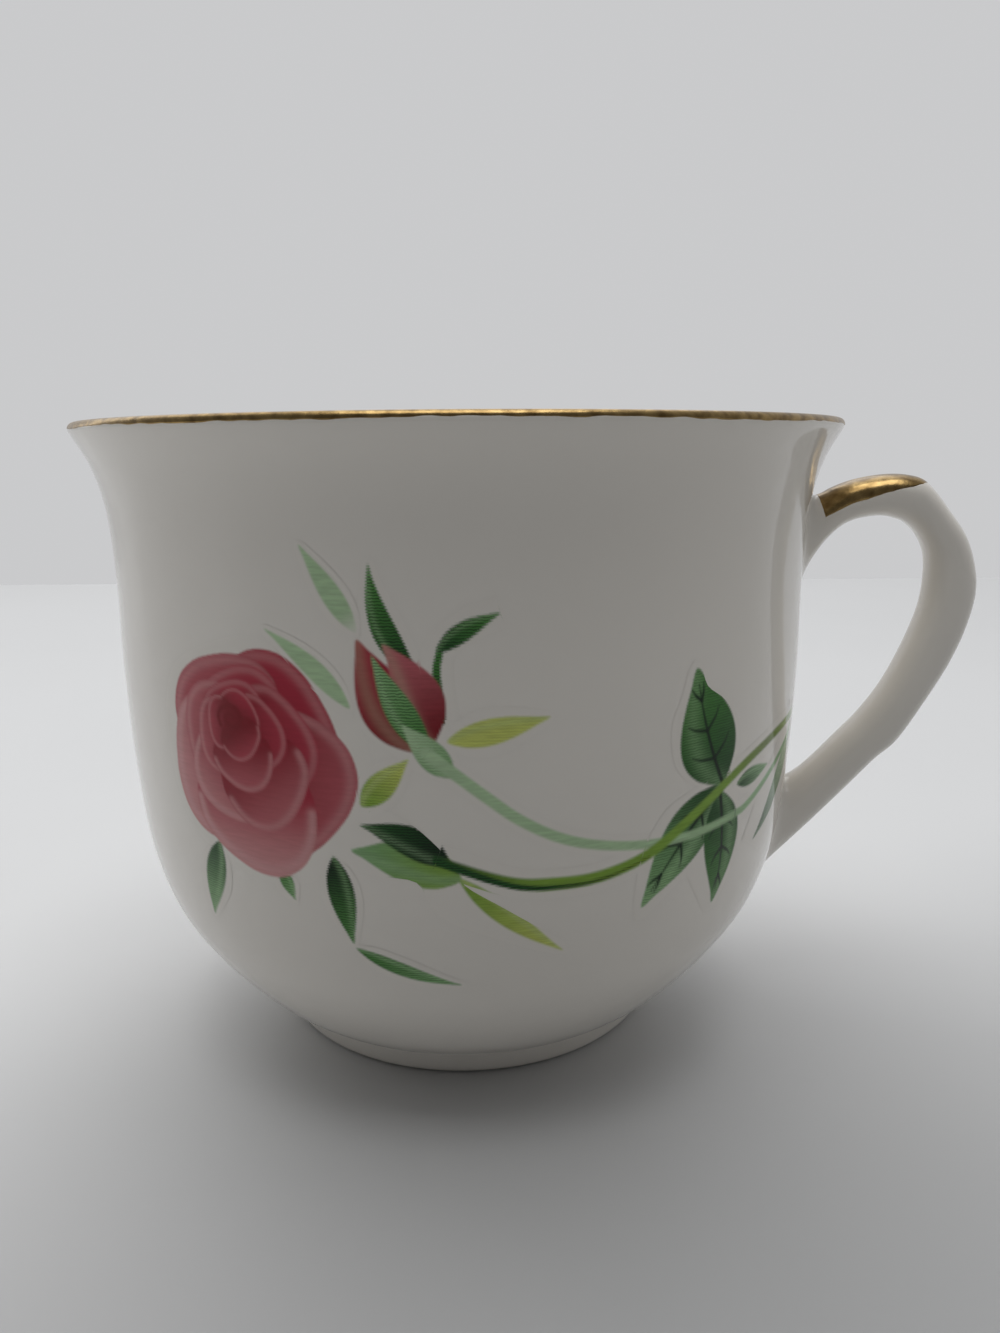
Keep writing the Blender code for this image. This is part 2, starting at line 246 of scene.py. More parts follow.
def glaze_bump(tree, shader):
    """Give the shader the faint ripple of a fired glaze, and return the object coordinates."""
    where = add_node(tree, "ShaderNodeTexCoord").outputs["Object"]
    ripple = add_node(tree, "ShaderNodeTexNoise", {"Vector": where, "Scale": 130.0, "Detail": 2.0})
    bump = add_node(tree, "ShaderNodeBump", {
        "Height": ripple.outputs["Fac"], "Strength": 0.12, "Distance": 0.0004,
    })
    tree.links.new(bump.outputs["Normal"], shader.inputs["Normal"])
    return where


PORCELAIN = (0.79, 0.755, 0.695)
CLOUDING = 0.025


def porcelain_tint(tree, where):
    """The faintly clouded white of the body under the glaze."""
    cloud = add_node(tree, "ShaderNodeTexNoise", {"Vector": where, "Scale": 28.0, "Detail": 3.0})
    tint = add_node(tree, "ShaderNodeValToRGB", {"Fac": cloud.outputs["Fac"]})
    tint.color_ramp.elements[0].color = (*(c * (1 - CLOUDING) for c in PORCELAIN), 1.0)
    tint.color_ramp.elements[1].color = (*(c * (1 + CLOUDING) for c in PORCELAIN), 1.0)
    return tint.outputs["Color"]


def porcelain_material():
    """White porcelain under a clear, glossy glaze."""
    material, tree, shader = new_material("glazed_porcelain", Roughness=0.06, IOR=1.42)
    where = glaze_bump(tree, shader)
    tree.links.new(porcelain_tint(tree, where), shader.inputs["Base Color"])
    return material


def gold_material():
    """Brushed gold, mottled where it is thin."""
    material, tree, shader = new_material("brushed_gold", Metallic=1.0, Roughness=0.27)
    where = add_node(tree, "ShaderNodeTexCoord").outputs["Object"]
    mottle = add_node(tree, "ShaderNodeTexNoise", {"Vector": where, "Scale": 900.0, "Detail": 4.0})
    tint = add_node(tree, "ShaderNodeValToRGB", {"Fac": mottle.outputs["Fac"]})
    tint.color_ramp.elements[0].position = 0.35
    tint.color_ramp.elements[0].color = (0.19, 0.12, 0.045, 1.0)
    tint.color_ramp.elements[1].position = 0.65
    tint.color_ramp.elements[1].color = (0.40, 0.275, 0.115, 1.0)
    tree.links.new(tint.outputs["Color"], shader.inputs["Base Color"])
    bump = add_node(tree, "ShaderNodeBump", {
        "Height": mottle.outputs["Fac"], "Strength": 0.35, "Distance": 0.0001,
    })
    tree.links.new(bump.outputs["Normal"], shader.inputs["Normal"])
    return material


# ---------------------------------------------------------------- bowl and foot


def make_bowl(porcelain):
    """The shell, from the middle of its underside over the lip to the middle of its inside."""
    lip = lip_arc(-LIP_LEAN, math.pi - LIP_LEAN, LIP_STEPS)
    inside = smooth_curve([lip[-1]] + INSIDE, 8)
    underside = smooth_curve(UNDERSIDE, 6)
    wall = OUTER_WALL[::3]
    outline = np.vstack([underside, wall, lip[1:], inside[1:]])
    turned("bowl_porcelain", outline, porcelain, ["bowl"], closed=False)


def make_foot(porcelain):
    """The foot ring with its slip seam."""
    turned("foot_porcelain", smooth_curve(FOOT, 4), porcelain, ["foot_ring", "foot_slip_seam"])


def make_rim_gold(gold):
    """The gold line over the rounded lip, whose brushed lower edge isn't quite even."""
    steps = 18
    rows = []
    for azimuth in np.linspace(0, math.tau, 3 * SEGMENTS, endpoint=False):
        wave = noise.noise(Vector((3 * math.cos(azimuth), 3 * math.sin(azimuth), 0.7)))
        fine = noise.noise(Vector((22 * math.cos(azimuth), 22 * math.sin(azimuth), 4.2)))
        first = RIM_GOLD_START + 0.35 * wave + 0.2 * fine
        last = RIM_GOLD_END + 0.5 * wave
        line = lip_arc(first, last, steps, GOLD_LIFT)
        line[[0, -1]] = lip_arc(first, last, 1, SUNK)
        rows.append(np.column_stack([
            line[:, 0] * math.cos(azimuth), line[:, 0] * math.sin(azimuth), line[:, 1],
        ]))
    faces = grid_faces(len(rows), steps + 1, wrap_rows=True, wrap_columns=False)
    piece = add_piece("rim_gold", np.vstack(rows), faces, [gold], ["rim_gilding"])
    clean(piece)


# ---------------------------------------------------------------- handle


def height_over_wall(points):
    """How far points lie outside the bowl's outer wall."""
    radius = np.hypot(points[..., 0], points[..., 1])
    wall = np.interp(points[..., 2], OUTER_WALL[:, 1], OUTER_WALL[:, 0])
    slope = np.interp(points[..., 2], OUTER_WALL[:, 1], WALL_SLOPE)
    return (radius - wall) / np.hypot(1, slope)


def wall_normal(point):
    """The outward normal of the bowl's outer wall beside a point."""
    slope = np.interp(point[2], OUTER_WALL[:, 1], WALL_SLOPE)
    flat = math.hypot(point[0], point[1])
    normal = np.array([point[0] / flat, point[1] / flat, -slope])
    return normal / np.linalg.norm(normal)


def handle_lines():
    """Lines that run along the handle, one for each angle round its squarish oval section."""
    outer = smooth_curve(HANDLE_OUTER, HANDLE_STEPS)
    inner = smooth_curve(HANDLE_INNER, HANDLE_STEPS)
    centre = (outer + inner) / 2
    depth = np.linalg.norm(outer - inner, axis=1) / 2
    outwards = (outer - inner) / (2 * depth[:, None])
    angle = np.linspace(0, math.tau, SECTION_SIDES, endpoint=False)
    power = 2 / SECTION_SQUARENESS
    across = np.sign(np.sin(angle)) * np.abs(np.sin(angle)) ** power
    along_depth = np.sign(np.cos(angle)) * np.abs(np.cos(angle)) ** power
    lines = []
    for side_ways, depth_ways in zip(across, along_depth):
        flat = centre + outwards * (depth * depth_ways)[:, None]
        sideways = np.full(len(flat), HANDLE_WIDTH / 2 * side_ways)
        lines.append(np.column_stack([flat[:, 0], sideways, flat[:, 1]]))
    return np.array(lines)


def root(lines):
    """For each line its start past the wall and its fillet over the wall, and the end cap's middle."""
    ends = []
    for line in lines:
        over = height_over_wall(line)
        first = int(np.argmax(over > 0))
        share = over[first] / (over[first] - over[first - 1])
        ends.append(line[first] + (line[first - 1] - line[first]) * share)
    middle = np.mean(ends, axis=0)
    fillets = []
    for line, end in zip(lines, ends):
        over = height_over_wall(line)
        start = int(np.argmax(over > FILLET))
        normal = wall_normal(end)
        spread = end - middle
        spread -= normal * (spread @ normal)
        spread /= np.linalg.norm(spread)
        foot = end + FILLET * spread
        foot -= wall_normal(foot) * height_over_wall(foot)
        t = np.linspace(0, 1, FILLET_STEPS)[:, None]
        curve = foot * (1 - t) ** 2 + 2 * end * t * (1 - t) + line[start] * t ** 2
        buried = foot + FILLET_OVERRUN * spread - FILLET_DEPTH * normal
        fillets.append((start, np.vstack([buried, curve])))
    return fillets, middle - CAP_DEPTH * wall_normal(middle)


def resampled(line, count):
    """The line with this many points, spread evenly along it."""
    steps = np.linalg.norm(np.diff(line, axis=0), axis=1)
    length = np.concatenate([[0], np.cumsum(steps)])
    places = np.linspace(0, length[-1], count)
    return np.column_stack([np.interp(places, length, line[:, k]) for k in range(3)])


def handle_grid():
    """Rows of points round the handle from the upper root to the lower one, and its two end caps."""
    lines = handle_lines()
    upper, upper_cap = root(lines)
    lower, lower_cap = root(lines[:, ::-1])
    count = lines.shape[1]
    first = max(start for start, _ in upper)
    last = count - 1 - max(start for start, _ in lower)
    columns = []
    for line, (start, top), (end, bottom) in zip(lines, upper, lower):
        head = resampled(np.vstack([top, line[start + 1:first + 1]]), ROOT_STEPS)
        tail = resampled(np.vstack([line[last:count - end - 1], bottom[::-1]]), ROOT_STEPS)
        columns.append(np.vstack([head, line[first + 1:last], tail]))
    return np.array(columns).transpose(1, 0, 2), upper_cap, lower_cap


def make_handle(porcelain):
    """The handle with both slip joints in one mesh; its rows of points are what the gold lies on."""
    rows, upper_cap, lower_cap = handle_grid()
    points = rows.reshape(-1, 3)
    faces = grid_faces(len(rows), SECTION_SIDES)
    top, bottom = len(points), len(points) + 1
    last = len(points) - SECTION_SIDES
    for side in range(SECTION_SIDES):
        beside = (side + 1) % SECTION_SIDES
        faces.append((top, beside, side))
        faces.append((bottom, last + side, last + beside))
    points = np.vstack([points, upper_cap, lower_cap])
    nodes = ["handle", "upper_slip_joint", "lower_slip_joint"]
    piece = add_piece("handle_porcelain", points, faces, [porcelain], nodes)
    clean(piece)
    return rows


def normals_of(rows):
    """Unit normals of a grid of points, outwards."""
    down = np.gradient(rows, axis=0)
    around = np.roll(rows, -1, axis=1) - np.roll(rows, 1, axis=1)
    normal = np.cross(down, around)
    return normal / np.linalg.norm(normal, axis=2)[..., None]


# The gold stroke's half width round the handle, as an angle, along its way from the root to the spur
GOLD_SPREAD = [0.0, 0.2, 0.4, 0.6, 0.8, 0.92, 0.98, 1.0], np.radians([86, 93, 94, 84, 66, 46, 24, 3])
SPUR = (52.9, 63.3)
GOLD_START = 0.9
GOLD_SLANT = 7
GOLD_STEPS, GOLD_COLUMNS = 90, 40


def on_grid(grid, row, column):
    """The value between the four nearest points of a grid that closes on itself sideways."""
    i, j = int(math.floor(row)), int(math.floor(column))
    down, beside = row - i, column - j
    value = np.zeros(3)
    for di, wi in ((0, 1 - down), (1, down)):
        for dj, wj in ((0, 1 - beside), (1, beside)):
            value += wi * wj * grid[i + di, (j + dj) % SECTION_SIDES]
    return value


def make_handle_gold(gold, rows):
    """The gold stroke on the handle's top: a slanted start at the root, a point at the spur."""
    normal = normals_of(rows)
    middle = rows[:, 0]
    spur = int(np.argmin(np.hypot(middle[:, 0] - SPUR[0], middle[:, 2] - SPUR[1])))
    start = int(np.argmax(height_over_wall(middle) > GOLD_START))
    points = []
    for step in range(GOLD_STEPS + 1):
        t = step / GOLD_STEPS
        spread = np.interp(t, *GOLD_SPREAD)
        for k in range(GOLD_COLUMNS + 1):
            angle = spread * (2 * k / GOLD_COLUMNS - 1)
            row = start + t * (spur - start) + GOLD_SLANT * (1 - t) * (1 - math.cos(angle))
            column = angle / math.tau * SECTION_SIDES
            at_edge = step in (0, GOLD_STEPS) or k in (0, GOLD_COLUMNS)
            lift = SUNK if at_edge else GOLD_LIFT
            points.append(on_grid(rows, row, column) + on_grid(normal, row, column) * lift)
    faces = grid_faces(GOLD_STEPS + 1, GOLD_COLUMNS + 1, wrap_columns=False)
    piece = add_piece("handle_gold", points, faces, [gold], ["handle_gilding"])
    clean(piece)


# ---------------------------------------------------------------- the painted spray
#
# The spray is painted flat, in millimetres: x runs round the belly from SPRAY_AZIMUTH, positive towards
# the handle, and y is the height on the cup. Each stroke of the painting is a function that gives, at
# any places, its colour, how much it covers and how much it is hatched.

CRIMSON = (0.20, 0.002, 0.008)
ROSE = (0.40, 0.025, 0.05)
PINK = (0.54, 0.135, 0.155)
PALE = (0.62, 0.30, 0.30)
BLUSH = (0.68, 0.42, 0.41)
NIGHT = (0.002, 0.018, 0.004)
FOREST = (0.012, 0.07, 0.012)
LEAF = (0.06, 0.20, 0.04)
GRASS = (0.22, 0.38, 0.05)
SAGE = (0.20, 0.38, 0.16)
PALE_SAGE = (0.43, 0.60, 0.36)
LIME = (0.56, 0.62, 0.15)
OLIVE = (0.13, 0.19, 0.015)


def mix(first, second, share):
    """Colours between two others, one for each share."""
    return np.asarray(first) + (np.asarray(second) - np.asarray(first)) * share[:, None]


def eased(t):
    """0 to 1 with soft ends."""
    t = np.clip(t, 0, 1)
    return t * t * (3 - 2 * t)


def nearest(places, line):
    """Distance of each place to a line, and how far along the line its nearest point is, 0 to 1."""
    starts, ways = line[:-1], np.diff(line, axis=0)
    lengths = np.maximum(np.linalg.norm(ways, axis=1), 1e-9)
    before = np.concatenate([[0], np.cumsum(lengths)])
    away = places[:, None] - starts
    t = np.clip((away * ways).sum(2) / lengths ** 2, 0, 1)
    gaps = np.linalg.norm(away - t[..., None] * ways, axis=2)
    best = gaps.argmin(axis=1)
    row = np.arange(len(places))
    along = (before[best] + t[row, best] * lengths[best]) / before[-1]
    return gaps[row, best], along


def is_inside(places, outline):
    """Whether each place is inside a closed outline."""
    a, b = outline, np.roll(outline, -1, axis=0)
    x, y = places[:, :1], places[:, 1:]
    rise = np.where(b[:, 1] == a[:, 1], 1e-12, b[:, 1] - a[:, 1])
    spans = (a[:, 1] > y) != (b[:, 1] > y)
    crossing = spans & (x < a[:, 0] + (b[:, 0] - a[:, 0]) * (y - a[:, 1]) / rise)
    return crossing.sum(axis=1) % 2 == 1


def patch(outline, start, start_colour, end, end_colour, glows, soft, hatch=0.0, fade=None):
    """A filled shape whose colour changes from a start to an end, with soft glows along lines.

    A glow is (line, width, colour, strength). A fade is (start, end): the ink thins out between them.
    """
    outline = smooth_curve(outline, 6, closed=True)
    closed = np.vstack([outline, outline[:1]])
    way = np.subtract(end, start)

    def paint(places):
        gap, _ = nearest(places, closed)
        depth = np.where(is_inside(places, outline), gap, -gap)
        cover = eased(0.5 + depth / (2 * soft))
        colour = mix(start_colour, end_colour, eased((places - start) @ way / (way @ way)))
        for line, width, glow, strength in glows:
            reach, _ = nearest(places, smooth_curve(line, 6))
            colour = mix(colour, glow, strength * np.exp(-(reach / width) ** 2))
        if fade:
            thin = np.subtract(fade[1], fade[0])
            cover = cover * (1 - eased((places - fade[0]) @ thin / (thin @ thin)))
        return colour, cover, np.full(len(places), hatch)

    margin = max(0.8, soft)
    return outline.min(axis=0) - margin, outline.max(axis=0) + margin, paint


def stroke(points, widths, colours, soft, hatch=0.0):
    """A brush stroke whose width and colour change along it."""
    line = smooth_curve(points, 6)
    stops = np.linspace(0, 1, len(colours))

    def paint(places):
        gap, along = nearest(places, line)
        half = np.interp(along, np.linspace(0, 1, len(widths)), widths) / 2
        cover = eased(0.5 + (half - gap) / (2 * soft))
        colour = np.column_stack([np.interp(along, stops, [c[k] for c in colours]) for k in range(3)])
        return colour, cover, np.full(len(places), hatch)

    margin = max(widths) / 2 + 2 * soft
    return line.min(axis=0) - margin, line.max(axis=0) + margin, paint


# The rose is a plain one of the builder's own, made by rule: rings of petals round a heart, and leaves
# that all have one shape. Only its place, its size and its colours follow the cup.
BLOOM_MIDDLE = np.array([-20.7, 39.6])
BLOOM_HEART = np.array([-22.4, 43.6])
# Each ring: petals, first petal's angle, share of the way to the heart, reach, petal width, darkness
PETAL_RINGS = [
    (5, -90, 0.0, 10.9, 14.5, 0.0),
    (5, -54, 0.3, 7.9, 10.5, 0.35),
    (4, -80, 0.62, 5.3, 7.4, 0.65),
    (3, -60, 0.86, 3.4, 5.2, 0.85),
]
PETAL_POINTS = 16
PETAL_WAVE = 0.04
LIP_INSET = 0.94
PALE_SIDE = math.radians(30)
MAIN_STEM = [(-2.8, 32.0), (4.0, 29.4), (8.6, 28.9), (12.9, 29.1), (17.8, 30.4)]
UPPER_STEM = [(28.2, 35.8), (32.4, 37.3), (38.0, 38.4), (45.4, 39.0)]
BUD_STEM = [(-3.4, 41.8), (1.7, 37.7), (4.7, 35.4), (8.4, 33.4), (12.3, 32.2), (17.4, 31.4)]
LOWER_STEM = [(29.6, 31.7), (31.8, 32.1), (36.7, 34.1), (42.3, 36.4)]
RIGHT_SEPAL = [(-1.9, 44.6), (-2.4, 48.6), (-2.0, 51.0), (0.3, 52.9), (3.1, 53.9)]


def blend(first, second, share):
    """A colour or a place between two others."""
    return tuple(np.asarray(first) + (np.asarray(second) - np.asarray(first)) * share)


def petal(middle, angle, reach, width, lip_colour, base_colour):
    """A rounded petal that leans out from a middle, light along its turned lip and dark at its base."""
    middle = np.asarray(middle)
    out = np.array([math.cos(angle), math.sin(angle)])
    side = np.array([-out[1], out[0]])
    turn = np.linspace(-math.pi, math.pi, PETAL_POINTS, endpoint=False)
    wave = 1 + PETAL_WAVE * np.cos(3 * turn + 5 * angle)
    along = reach * (0.42 + 0.58 * np.cos(turn)) * wave
    across = width / 2 * np.sin(turn) * wave
    outline = middle + np.outer(along, out) + np.outer(across, side)
    lip = (outline - middle)[np.abs(turn) < 1.6] * LIP_INSET + middle
    base = middle + 0.15 * reach * out
    return patch(outline, middle + reach * out, lip_colour, base, base_colour, [
        (lip, 0.05 * reach, blend(lip_colour, BLUSH, 0.35), 0.8),
    ], soft=0.14)


def petal_ring(count, first, middle, reach, width, dark):
    """Petals round a middle from the back to the front; those towards the pale side are paler."""
    petals = []
    for angle in sorted(first + np.arange(count) * math.tau / count, key=math.sin, reverse=True):
        front = ((1 - math.sin(angle + PALE_SIDE)) / 2) ** 1.5 * (1 - dark)
        lip_colour = blend(ROSE, PALE, front)
        base_colour = blend(CRIMSON, ROSE, front)
        petals.append(petal(middle, angle, reach, width, lip_colour, base_colour))
    return petals


def bloom():
    """The open rose: rings of ever smaller petals, and a spiral heart."""
    layers = []
    for count, first, share, reach, width, dark in PETAL_RINGS:
        middle = blend(BLOOM_MIDDLE, BLOOM_HEART, share)
        layers += petal_ring(count, math.radians(first), middle, reach, width, dark)
    turns = np.linspace(0, 3.2 * math.pi, 16)
    circle = np.column_stack([np.cos(turns), 0.85 * np.sin(turns)])
    spiral = BLOOM_HEART + circle * (0.25 + 0.14 * turns)[:, None]
    return layers + [stroke(spiral, [0.3, 0.55, 0.4], [CRIMSON, CRIMSON], soft=0.2)]


def leaf_shape(base, tip, width, bend):
    """A pointed leaf, widest before its middle: its way, its left, its midrib and its half widths.

    The midrib's middle is pushed to the left by bend.
    """
    base = np.array(base, float)
    way = np.array(tip, float) - base
    left = np.array([-way[1], way[0]]) / np.linalg.norm(way)
    t = np.linspace(0, 1, 9)[:, None]
    line = base + way * t + left * bend * 4 * t * (1 - t)
    return way, left, line, left * width / 2 * np.sin(math.pi * t ** 0.75)


def leaf(base, tip, width, base_colour, tip_colour, bend=0.0, vein=None, hatch=0.5, fade=None):
    """A pointed leaf with one light side and, with a vein colour, a midrib and three pairs of veins."""
    way, _, line, half = leaf_shape(base, tip, width, bend)
    outline = np.vstack([line + half, (line - half)[-2:0:-1]])
    layers = [patch(outline, base, base_colour, tip, tip_colour, [
        (line + 0.5 * half, 0.14 * width, blend(tip_colour, PALE_SAGE, 0.35), 0.6),
    ], soft=0.16, hatch=hatch, fade=fade)]
    if vein:
        layers.append(stroke(line[:-1], [0.5, 0.35, 0.1], [vein, vein], soft=0.15))
        for start, room in zip(line[2:7:2], half[3:8:2]):
            for side in (-1, 1):
                end = start + 0.12 * way + side * 0.7 * room
                bow = (start + end) / 2 + side * 0.1 * room
                layers.append(stroke([start, bow, end], [0.35, 0.3, 0.08], [vein, vein], soft=0.15))
    return layers


def sprigs_and_sepals():
    """Everything leafy behind and under the bloom and round the bud."""
    return (
        leaf(
            (-9.2, 52.2), (-13.9, 59.5), 1.9, PALE_SAGE, PALE_SAGE,
            hatch=0.0, fade=((-10.6, 54.0), (-9.0, 51.4)),
        )
        + leaf((-10.0, 45.6), (-17.9, 52.1), 1.8, PALE_SAGE, PALE_SAGE, bend=-0.5, hatch=0.0)
        + leaf((-25.7, 30.9), (-29.1, 22.1), 2.9, FOREST, SAGE)
        + leaf((-18.1, 29.6), (-16.9, 26.6), 1.5, LEAF, SAGE)
        + leaf((-12.4, 31.6), (-11.2, 22.7), 2.7, NIGHT, LEAF, hatch=0.8)
        + leaf((-11.0, 22.2), (-0.8, 18.4), 1.6, LEAF, SAGE, bend=-0.4)
        + leaf((-1.6, 42.8), (7.3, 44.7), 2.4, LIME, LIME, hatch=0.1)
        + leaf((-9.4, 36.7), (-5.0, 41.2), 2.5, GRASS, LIME, hatch=0.3)
        + leaf((-4.2, 48.6), (-7.9, 58.0), 2.2, FOREST, LEAF, bend=1.0, hatch=0.9)
        + [stroke(RIGHT_SEPAL[:3], [0.5, 0.8, 0.6], [FOREST, LEAF], soft=0.15, hatch=0.8)]
        + leaf((-2.4, 50.6), (3.1, 53.9), 1.7, FOREST, LEAF, bend=0.3, hatch=0.8)
    )


def calyx():
    """The big leaf under the bloom and its yellow tail."""
    return (
        leaf((-0.8, 30.0), (9.2, 21.7), 2.0, GRASS, LIME, bend=-0.3, hatch=0.1)
        + leaf((-0.6, 29.9), (-10.6, 32.4), 4.4, GRASS, SAGE, bend=-0.5, hatch=0.1)
        + leaf((-1.6, 31.4), (-9.6, 34.9), 3.0, NIGHT, FOREST, bend=-0.6, hatch=0.8)
    )


def bud():
    """The closed bud: two petals wrapped in a sepal, on a pale cup."""
    return (
        leaf((-4.2, 41.9), (-9.2, 51.6), 5.0, CRIMSON, ROSE, bend=0.4, hatch=0.0)
        + leaf((-3.0, 42.4), (-6.9, 51.2), 4.2, CRIMSON, PINK, bend=-0.9, hatch=0.0)
        + leaf((-3.2, 41.8), (-7.9, 50.2), 2.6, LEAF, SAGE, bend=0.3, hatch=0.8)
        + leaf((-1.2, 39.6), (-5.4, 44.2), 2.6, SAGE, PALE_SAGE, hatch=0.2)
    )


def leaves():
    """The cluster of leaves beside the handle."""
    return (
        leaf((26.9, 35.6), (22.3, 47.6), 7.6, FOREST, LEAF, bend=0.6, vein=NIGHT, hatch=0.4)
        + leaf((26.8, 35.4), (17.4, 24.8), 6.0, FOREST, SAGE, bend=-0.7, vein=NIGHT, hatch=0.4)
        + leaf((26.6, 34.8), (27.9, 22.4), 5.6, FOREST, LEAF, bend=0.6, vein=NIGHT, hatch=0.4)
        + leaf((29.4, 34.9), (36.0, 35.4), 1.9, FOREST, SAGE)
        + leaf((44.6, 38.0), (34.6, 27.4), 3.4, PALE_SAGE, FOREST, bend=0.8)
    )


def stems():
    """The bud's pale stem and the rose's darker one, which cross over the leaves."""
    bud_stem = BUD_STEM + [(23.4, 31.2)] + LOWER_STEM
    rose_stem = MAIN_STEM + [(23.4, 33.4)] + UPPER_STEM
    rose_stem_colours = [FOREST, GRASS, GRASS, GRASS, OLIVE, GRASS]
    shadow = [(x, y - 0.35) for x, y in MAIN_STEM]
    return [
        stroke(bud_stem, [1.1, 0.9, 0.8], [PALE_SAGE, PALE_SAGE, SAGE], soft=0.18),
        stroke(rose_stem, [0.5, 1.3, 1.2, 1.1, 1.0, 0.9], rose_stem_colours, soft=0.2),
        stroke(shadow, [0.8, 0.5, 0.2], [FOREST, FOREST, OLIVE], soft=0.16, hatch=0.9),
    ]


def paint(places):
    """Colour, cover and hatching of the whole spray at flat places."""
    colour = np.full((len(places), 3), PORCELAIN)
    cover = np.zeros(len(places))
    hatch = np.zeros(len(places))
    for low, high, layer in SPRAY:
        near = np.flatnonzero(((places > low) & (places < high)).all(axis=1))
        if not len(near):
            continue
        tint, share, lines = layer(places[near])
        total = share + cover[near] * (1 - share)
        weight = np.divide(share, total, out=np.zeros_like(share), where=total > 0)
        colour[near] = mix(colour[near], tint, weight)
        hatch[near] = hatch[near] * (1 - share) + lines * share
        cover[near] = total
    return colour, cover, hatch


SPRAY = sprigs_and_sepals() + bloom() + bud() + calyx() + leaves() + stems()


# ---------------------------------------------------------------- the films that carry the print


def to_left(line):
    """Unit normals to the left of a line."""
    way = np.gradient(line, axis=0)
    way /= np.linalg.norm(way, axis=1)[:, None]
    return np.column_stack([-way[:, 1], way[:, 0]])


def leaf_outline(base, tip, width, bend=0.0):
    """A leaf's shape, grown by the film's margin."""
    way, left, line, half = leaf_shape(base, tip, width, bend)
    half = half + left * FILM_MARGIN
    end = way / np.linalg.norm(way) * FILM_MARGIN
    return np.vstack([base - end, line + half, tip + end, (line - half)[::-1]])


def stem_outline(points, width):
    """A band along a line, grown by the film's margin."""
    line = smooth_curve(points, 4)
    half = to_left(line) * (width / 2 + FILM_MARGIN)
    return np.vstack([line + half, (line - half)[::-1]])


def blot_outline(points):
    """A rounded patch through the points, grown by the film's margin."""
    outline = smooth_curve(points, 4, closed=True)
    way = np.roll(outline, -1, axis=0) - np.roll(outline, 1, axis=0)
    left = np.column_stack([-way[:, 1], way[:, 0]]) / np.linalg.norm(way, axis=1)[:, None]
    after = np.roll(outline, -1, axis=0)
    area = np.sum(outline[:, 0] * after[:, 1] - after[:, 0] * outline[:, 1])
    return outline - left * FILM_MARGIN * np.sign(area)


# Each film: its CAD node, the slot of its finish and its outline
FILMS = [
    ("rose_bloom_transfer", "pink_print", blot_outline([
        (-26.0, 49.3), (-19.5, 50.9), (-15.0, 48.4), (-11.5, 46.2), (-9.2, 42.8), (-8.9, 37.0),
        (-11.4, 31.4), (-16.0, 28.9), (-20.5, 28.6), (-25.4, 29.6), (-29.8, 32.4), (-31.4, 36.4),
        (-32.0, 42.0), (-30.2, 46.9),
    ])),
    ("rose_bud_transfer", "pink_print", blot_outline([
        (-9.3, 51.4), (-9.9, 48.0), (-8.7, 44.2), (-6.2, 42.2), (-4.2, 40.6), (-1.0, 39.6), (-1.6, 42.4),
        (-2.3, 44.8), (-3.3, 48.0), (-6.2, 50.4),
    ])),
    ("bud_left_sepal_transfer", "dark_green_print", leaf_outline((-4.2, 48.6), (-7.9, 58.0), 2.8, 1.0)),
    ("bud_right_sepal_transfer", "dark_green_print", stem_outline(RIGHT_SEPAL, 1.8)),
    ("bud_stem_transfer", "pale_green_print", stem_outline(BUD_STEM, 1.0)),
    ("yellow_leaf_transfer", "yellow_green_print", leaf_outline((-1.6, 42.8), (7.3, 44.7), 3.4)),
    ("bloom_side_leaf_transfer", "green_print", leaf_outline((-9.4, 36.7), (-5.0, 41.2), 3.0)),
    ("calyx_leaf_transfer", "green_print", blot_outline([
        (-9.2, 34.6), (-7.9, 36.0), (-5.5, 35.0), (-3.2, 32.9), (-1.9, 31.2), (-0.6, 28.9),
        (3.5, 26.1), (9.6, 21.6), (2.2, 24.4), (-2.3, 26.6), (-4.4, 30.0), (-8.6, 30.6),
        (-10.8, 31.6),
    ])),
    ("main_stem_transfer", "green_print", stem_outline(MAIN_STEM, 1.9)),
    ("upper_leaf_transfer", "dark_green_print", blot_outline([
        (22.1, 47.9), (23.4, 45.4), (26.2, 43.5), (28.3, 40.8), (28.4, 37.6), (24.6, 36.2),
        (21.0, 38.2), (19.9, 42.0), (21.0, 45.0),
    ])),
    ("lower_leaf_pair_transfer", "dark_green_print", blot_outline([
        (17.8, 31.3), (19.6, 34.0), (22.2, 35.2), (25.6, 35.9), (28.6, 35.6), (29.8, 31.4),
        (30.4, 28.0), (27.9, 21.9), (24.9, 24.8), (23.0, 27.2), (20.2, 26.0), (17.3, 23.9),
        (17.0, 28.0),
    ])),
    ("upper_stem_transfer", "green_print", stem_outline(UPPER_STEM, 1.6)),
    ("lower_stem_transfer", "pale_green_print", stem_outline(LOWER_STEM, 1.2)),
    ("side_leaflet_transfer", "dark_green_print", leaf_outline((29.4, 34.9), (36.0, 35.4), 2.4)),
    ("edge_leaf_transfer", "dark_green_print", stem_outline([
        (45.0, 38.6), (41.0, 34.9), (37.2, 31.6), (34.4, 26.8),
    ], 4.8)),
    ("left_sepal_transfer", "green_print", leaf_outline((-25.7, 30.4), (-29.1, 22.1), 3.6)),
    ("middle_sepal_transfer", "pale_green_print", leaf_outline((-18.1, 29.0), (-16.9, 26.6), 1.9)),
    ("right_sepal_transfer", "dark_green_print", leaf_outline((-12.4, 31.4), (-11.2, 22.7), 3.2)),
    ("trailing_leaf_transfer", "green_print", leaf_outline((-11.0, 22.2), (-0.8, 18.4), 2.0, -0.4)),
    ("upper_sprig_transfer", "pale_green_print", leaf_outline((-9.2, 52.2), (-13.9, 59.5), 2.2)),
    ("lower_sprig_transfer", "pale_green_print", leaf_outline((-10.0, 45.6), (-17.9, 52.1), 2.0, -0.5)),
]


